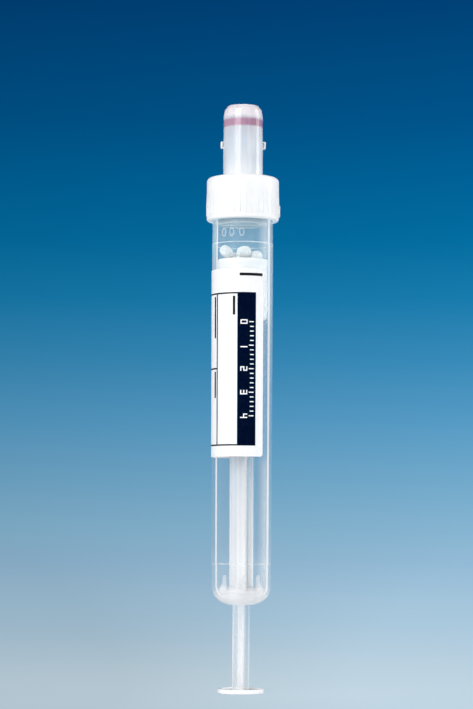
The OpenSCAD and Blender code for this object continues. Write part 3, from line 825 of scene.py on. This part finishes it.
def rodPaint():
    paint = newPaint("rodPlastic")
    spot, x, y, z = paint.place()
    radius = paint.radius(x, y)
    inside = paint.climb(z, tubeZ, 0.5, 1)
    outside = 1 - inside
    # the thin webs let more through than the tips and edges of the ribs
    tip = (paint.climb(radius, rod["shaft"], -0.275, -0.145)
           + paint.climb(radius, rod["stem"], -0.28, -0.16) * outside)
    # painted shade: the web right of the front rib is more see-through, standing in for the front rib's
    # shadow
    right = (paint.climb(x, rod["shaftRib"] / 2, 0.005, 0.075)
             + paint.climb(x, rod["stemRib"] / 2, 0.005, 0.075) * outside)
    # painted shade: the webs are more see-through higher in the tube, towards the label and piston, and just
    # below the tube's foot
    upper = paint.climb(z, tubeZ, 8, 33)
    root = paint.climb(z, 0, 8, 18) * outside
    web = 0.75 - upper * 0.34 * inside - outside * 0.45 - root * 0.07
    dark = right * (0.25 - upper * 0.07 * inside - outside * 0.13) * (1 - tip * 0.4)
    ends = tip * (0.15 - upper * 0.11 * inside + outside * 0.35 - root * 0.3) * (1 - right * 0.4)
    flow = paint.noise(spot, 500, 3.0, (1, 1, 0.04))
    cover = web - dark + ends + paint.ease(flow, 0.3, 0.7) * 0.06
    colour = paint.colour(paint.ease(flow, 0.35, 0.65), srgb(240, 243, 247), srgb(250, 251, 252))
    return paint.finish({
        "Base Color": colour, "Roughness": wear(paint, spot, 700, 0.12, 0.25),
        "Alpha": paint.least(cover, 1.0), "Normal": paint.bump(flow, 0.02 * mm, 0.3),
    })


rodFinish = rodPaint()


def crossOutline(reach, rib, z):
    # a cross of four rounded ribs, as one ring of points at height z
    half, corner = rib / 2, rod["corner"]
    tip = math.sqrt(reach * reach - half * half)
    quarter = roundedLine([
        (half, -half, rod["fillet"]), (tip, -half, corner), (reach, 0, 0), (tip, half, corner),
    ], 4)
    points = []
    for k in range(4):
        turn = Matrix.Rotation(math.radians(90 * k), 2)
        points += [(*(turn @ p), z) for p in quarter]
    return points


def makeRod():
    r = rod
    hub = pistonZ + piston["hollow"]
    stepZ, top = tubeZ + r["stepRise"], hub - r["waistLength"]
    stepTop = stepZ + r["step"]
    thin, thick = r["stemRib"], r["shaftRib"]
    levels = [
        (r["stem"], thin, 0.5), (r["stem"], thin, stepZ - 0.1), (r["stem"] + 0.05, thin, stepZ + 0.05),
        (r["shaft"] - 0.05, thick, stepTop - 0.05), (r["shaft"], thick, stepTop + 0.1),
        (r["shaft"], thick, top - 0.2), (r["shaft"] - 0.15, thick, top),
    ]
    shaft = loft("rodShaft", [crossOutline(*level) for level in levels])
    dress(shaft, "plunger", "plunger_rod", rodFinish)
    edge, tall, turn = r["disc"], r["discThick"], r["discEdge"]
    line = [
        (0, 0.02), (edge, 0.02, turn), (edge, tall, turn), (edge - r["rim"], tall, 0.1),
        (edge - r["rim"] - 0.25, tall - r["dish"], 0.15), (0, tall - r["dish"]),
    ]
    dress(turned("thumbDisc", line, 128, 6), "plunger", "plunger_rod", discPaint())
    # the waist that snaps off and the head that snaps into the piston
    head, snap = r["head"], r["snap"]
    line = [
        (0, top - 0.3), (r["waist"], top - 0.3), (r["waist"], hub, 0.2), (head, hub, 0.1),
        (head, hub + 0.8), (snap, hub + 0.85, 0.1), (snap, hub + 0.95, 0.1), (head, rodZ, 0.15), (0, rodZ),
    ]
    dress(turned("snapEnd", line, 64), "plunger", "plunger_rod", rodFinish)


def discPaint():
    paint = newPaint("discPlastic")
    spot, x, y, _ = paint.place()
    cover = 0.2 + paint.climb(paint.radius(x, y), rod["disc"], -0.8, -0.55) * 0.8
    return paint.finish({
        "Base Color": srgb(252, 253, 254), "Roughness": wear(paint, spot, 600, 0.15, 0.3), "Alpha": cover,
    })


makeRod()
print("rod made")


bead = {"radius": 1.45, "thick": 2.2, "grow": 1.08, "segments": 24, "bulge": 0.72, "crown": 0.9}


def beadPaint():
    paint = newPaint("beadPlastic")
    spot = paint.spot()
    cloud = paint.noise(spot, 750, 3.0)
    rim = paint.ease(paint.facing(), 0.3, 0.65)
    cover = 0.78 + rim * 0.25 + paint.ease(cloud, 0.45, 0.6) * 0.2
    return paint.finish({
        "Base Color": srgb(254, 254, 254), "Roughness": wear(paint, spot, 900, 0.05, 0.15), "IOR": 1.5,
        "Alpha": paint.least(cover, 1.0), "Normal": paint.bump(cloud, 0.05 * mm, 0.4),
    })


def islands(mesh):
    # the loose pieces of a mesh, as lists of points
    bm = bmesh.new()
    bm.from_mesh(mesh)
    bmesh.ops.remove_doubles(bm, verts=bm.verts, dist=1e-6)
    seen, groups = set(), []
    for first in bm.verts:
        if first in seen:
            continue
        seen.add(first)
        reach, group = [first], []
        while reach:
            v = reach.pop()
            group.append(v.co.copy())
            for e in v.link_edges:
                other = e.other_vert(v)
                if other not in seen:
                    seen.add(other)
                    reach.append(other)
        groups.append(group)
    bm.free()
    return groups


def shortAxis(points, middle):
    # the direction in which a group of points is thinnest
    best, axis = math.inf, Vector((0, 0, 1))
    for i in range(24):
        for j in range(48):
            a, b = math.radians(90 * i / 24), math.radians(360 * j / 48)
            way = Vector((math.sin(a) * math.cos(b), math.sin(a) * math.sin(b), math.cos(a)))
            reach = max(abs((p - middle).dot(way)) for p in points[::5])
            if reach < best:
                best, axis = reach, way
    return axis


def makeBeads():
    spots = bpy.data.meshes.new("beadSpots")
    found = []
    for points in islands(nodes["clot_beads"].data):
        middle = sum(points, Vector()) / len(points)
        found.append((middle, shortAxis(points, middle)))
    found.sort(key=lambda item: (round(item[0].z, 6), round(item[0].x, 6)))
    spots.from_pydata([middle for middle, axis in found], [], [])
    axes = spots.attributes.new("axis", "FLOAT_VECTOR", "POINT")
    for k, (middle, axis) in enumerate(found):
        axes.data[k].vector = axis
    source = makeObject("beadSpots", spots)
    r, h = bead["radius"], bead["thick"] / 2
    line = []
    for k in range(13):
        a = math.radians(-90 + 180 * k / 12)
        rise = math.copysign(abs(math.sin(a)) ** bead["crown"], math.sin(a))
        line.append((r * max(math.cos(a), 0) ** bead["bulge"], h * rise))
    shape = turned("beadShape", line, bead["segments"])
    plan = Plan("beadPlan")
    place, piece = plan.size("Places", "Object"), plan.size("Piece", "Object")
    grow, finish = plan.size("Grow"), plan.size("Finish", "Material")
    points = plan.node("GeometryNodeObjectInfo", values={"Object": place}, out="Geometry")
    body = plan.node("GeometryNodeObjectInfo", values={"Object": piece}, out="Geometry")
    way = plan.node("GeometryNodeInputNamedAttribute", {"data_type": "FLOAT_VECTOR"}, {"Name": "axis"})
    turn = plan.node("FunctionNodeAlignRotationToVector", {"axis": "Z"}, {"Vector": way})
    copies = plan.node("GeometryNodeInstanceOnPoints",
                       values={"Points": points, "Instance": body, "Rotation": turn, "Scale": grow})
    values = {"Places": source, "Piece": shape, "Grow": bead["grow"], "Finish": beadPaint()}
    made = plan.make("clotBeads", values, copies, finish)
    bpy.data.objects.remove(source)
    bpy.data.objects.remove(shape)
    dress(made, "plunger", "clot_beads")


makeBeads()
print("beads made")


label = {
    "paper": srgb(251, 251, 252), "fibre": srgb(247, 247, 249),
    "dark": srgb(14, 15, 24), "navy": srgb(1, 12, 38), "white": srgb(246, 247, 250),
}


def paperPaint():
    paint = newPaint("labelPaper")
    spot = paint.spot()
    fibres = paint.noise(spot, 1800, 5.0, (1, 1, 0.5))
    colour = paint.colour(paint.ease(fibres, 0.3, 0.7), label["fibre"], label["paper"])
    return paint.finish({
        "Base Color": colour, "Roughness": paint.ease(fibres, 0.3, 0.7, 0.38, 0.5),
        "Coat Weight": 0.1, "Coat Roughness": 0.2, "Normal": paint.bump(fibres, 0.01 * mm, 0.5),
    })


def inkPaint(name, ink, rough, shine):
    paint = newPaint(name)
    spot = paint.spot()
    speckle = paint.noise(spot, 2500, 3.0)
    thin = tuple(c * 1.25 + 0.003 for c in ink[:3]) + (1.0,)
    colour = paint.colour(paint.ease(speckle, 0.4, 0.8), ink, thin)
    return paint.finish({
        "Base Color": colour, "Roughness": paint.ease(speckle, 0.3, 0.7, rough, rough + 0.12),
        "Specular IOR Level": shine,
    })


paints = {
    "label": paperPaint(),
    "label_rules": inkPaint("darkInk", label["dark"], 0.4, 0.1),
    "label_band": inkPaint("navyInk", label["navy"], 0.32, 0.0),
    "band_marks": inkPaint("whiteInk", label["white"], 0.4, 0.1),
}
for name, paint in paints.items():
    for slot in nodes[name].material_slots:
        slot.material = paint
print("label painted")


room = {
    "eye": (-0.00122, -0.494, 0.0346), "pitch": 4.35, "roll": 0.255, "lens": 117.1,
    "fill": 0.58, "shadow": 0.2, "floor": 40, "pale": srgb(242, 242, 242),
    "leftLevel": 0.92, "rightLevel": 1.15, "levelReach": 0.12,
}
# azimuth 0 is on the camera's side, positive towards +X; lengths in metres, power in watts
lamps = {
    "keyLamp": {"azimuth": -33, "distance": 0.7, "height": 0.35, "width": 0.44, "tall": 0.6, "power": 3.2},
    "sideLamp": {"azimuth": 95, "distance": 0.6, "height": 0.15, "width": 0.25, "tall": 0.7, "power": 1.9},
    "stripLamp": {"azimuth": 40, "distance": 0.9, "height": 0.15, "width": 0.03, "tall": 0.7, "power": 0.5},
}
lampAim = (0, 0, 0.065)
# backdrop colours by height above the horizon in degrees
backdrop = [
    (0.0, srgb(127, 171, 198)), (1.24, srgb(107, 160, 192)), (2.73, srgb(80, 146, 186)),
    (4.21, srgb(52, 131, 175)), (5.7, srgb(22, 117, 164)), (7.19, srgb(3, 103, 152)),
    (8.68, srgb(0, 92, 143)), (10.16, srgb(0, 79, 131)), (12.97, srgb(0, 62, 113)),
    (30.0, srgb(0, 44, 92)),
]
# floor colours by how near the object they are, 1 at its foot and 0 at the horizon
ground = [
    (0.0, srgb(127, 171, 198)), (0.19, srgb(138, 175, 201)), (0.43, srgb(154, 185, 206)),
    (0.68, srgb(164, 191, 209)), (0.92, srgb(174, 198, 213)), (1.0, srgb(178, 201, 216)),
]


def lighter(paint, colour, side):
    # the backdrop and the floor are a little lighter to the right
    reach = room["levelReach"]
    level = paint.node("ShaderNodeMapRange",
                       values={"Value": side, "From Min": -reach, "From Max": reach,
                               "To Min": room["leftLevel"], "To Max": room["rightLevel"]})
    return paint.node("ShaderNodeVectorMath", {"operation": "SCALE"}, {0: colour, "Scale": level})


def seenDirectly(paint):
    # 1 for the camera, and for what shows in gloss or through clear pieces
    ray = paint.node("ShaderNodeLightPath", out="Is Camera Ray")
    outputs = ray.socket.node.outputs
    through, gloss = Wire(paint, outputs["Is Transmission Ray"]), Wire(paint, outputs["Is Glossy Ray"])
    return paint.most(paint.most(ray, through), gloss)


def makeWorld():
    world = bpy.data.worlds.new("studio")
    bpy.context.scene.world = world
    paint = Paint(world)
    way = paint.node("ShaderNodeTexCoord", out="Generated")
    across = paint.node("ShaderNodeSeparateXYZ", values={"Vector": way}, out=0)
    up = Wire(paint, across.socket.node.outputs[2])
    top = backdrop[-1][0]
    share = paint.math("ARCSINE", up) * (math.degrees(1) / top)
    stops = [(degrees / top, colour) for degrees, colour in backdrop]
    sky = paint.node("ShaderNodeValToRGB", {"stops": stops}, {"Fac": share})
    plain = paint.node("ShaderNodeBackground",
                       values={"Color": (1.0, 1.0, 1.0, 1.0), "Strength": room["fill"]})
    shown = paint.node("ShaderNodeBackground",
                       values={"Color": lighter(paint, sky, across), "Strength": 1.0})
    mixed = paint.node("ShaderNodeMixShader", values={0: seenDirectly(paint), 1: plain, 2: shown})
    paint.node("ShaderNodeOutputWorld", values={"Surface": mixed})


def makeFloor():
    bm = bmesh.new()
    bmesh.ops.create_circle(bm, cap_ends=True, segments=96, radius=room["floor"])
    floor = finishMesh("floor", bm)
    paint = newPaint("floorPaint")
    _, x, y, _ = paint.place()
    away = paint.radius(x, y)
    eye = -room["eye"][1]  # how far in front of the object the camera stands
    near = eye / (away + eye)
    tone = paint.node("ShaderNodeValToRGB", {"stops": ground}, {"Fac": near})
    colour = lighter(paint, tone, x * (1 + near * 1.6) / (away + eye))
    pale = paint.colour(0.8, colour, room["pale"])
    matte = paint.node("ShaderNodeBsdfPrincipled",
                       values={"Base Color": pale, "Roughness": 0.9, "Specular IOR Level": 0.0})
    glow = paint.node("ShaderNodeEmission", values={"Color": colour, "Strength": 1.0})
    kept = paint.ease(near, 0.5, 0.95) * room["shadow"]
    seen = seenDirectly(paint) * (1 - kept)
    mixed = paint.node("ShaderNodeMixShader", values={0: seen, 1: matte, 2: glow})
    paint.node("ShaderNodeOutputMaterial", values={"Surface": mixed})
    floor.data.materials.append(paint.owner)


def makeLamp(name, place):
    a, distance = math.radians(place["azimuth"]), place["distance"]
    lamp = bpy.data.lights.new(name, "AREA")
    lamp.shape, lamp.size, lamp.size_y = "RECTANGLE", place["width"], place["tall"]
    lamp.energy = place["power"]
    piece = bpy.data.objects.new(name, lamp)
    piece.location = (distance * math.sin(a), -distance * math.cos(a), place["height"])
    aim = Vector(lampAim) - piece.location
    piece.rotation_euler = aim.to_track_quat("-Z", "Y").to_euler()
    bpy.context.scene.collection.objects.link(piece)


def makeCamera():
    lens = bpy.data.cameras.new("camera")
    lens.lens, lens.clip_start, lens.clip_end = room["lens"], 0.01, 100
    camera = bpy.data.objects.new("camera", lens)
    bpy.context.scene.collection.objects.link(camera)
    tilt = Matrix.Rotation(math.radians(90 + room["pitch"]), 4, "X")
    roll = Matrix.Rotation(math.radians(room["roll"]), 4, "Z")
    camera.matrix_world = Matrix.Translation(room["eye"]) @ tilt @ roll
    bpy.context.scene.camera = camera


makeWorld()
makeFloor()
for name, place in lamps.items():
    makeLamp(name, place)
makeCamera()
bpy.context.scene.view_settings.view_transform = "Standard"
print("room, lamps and camera made")
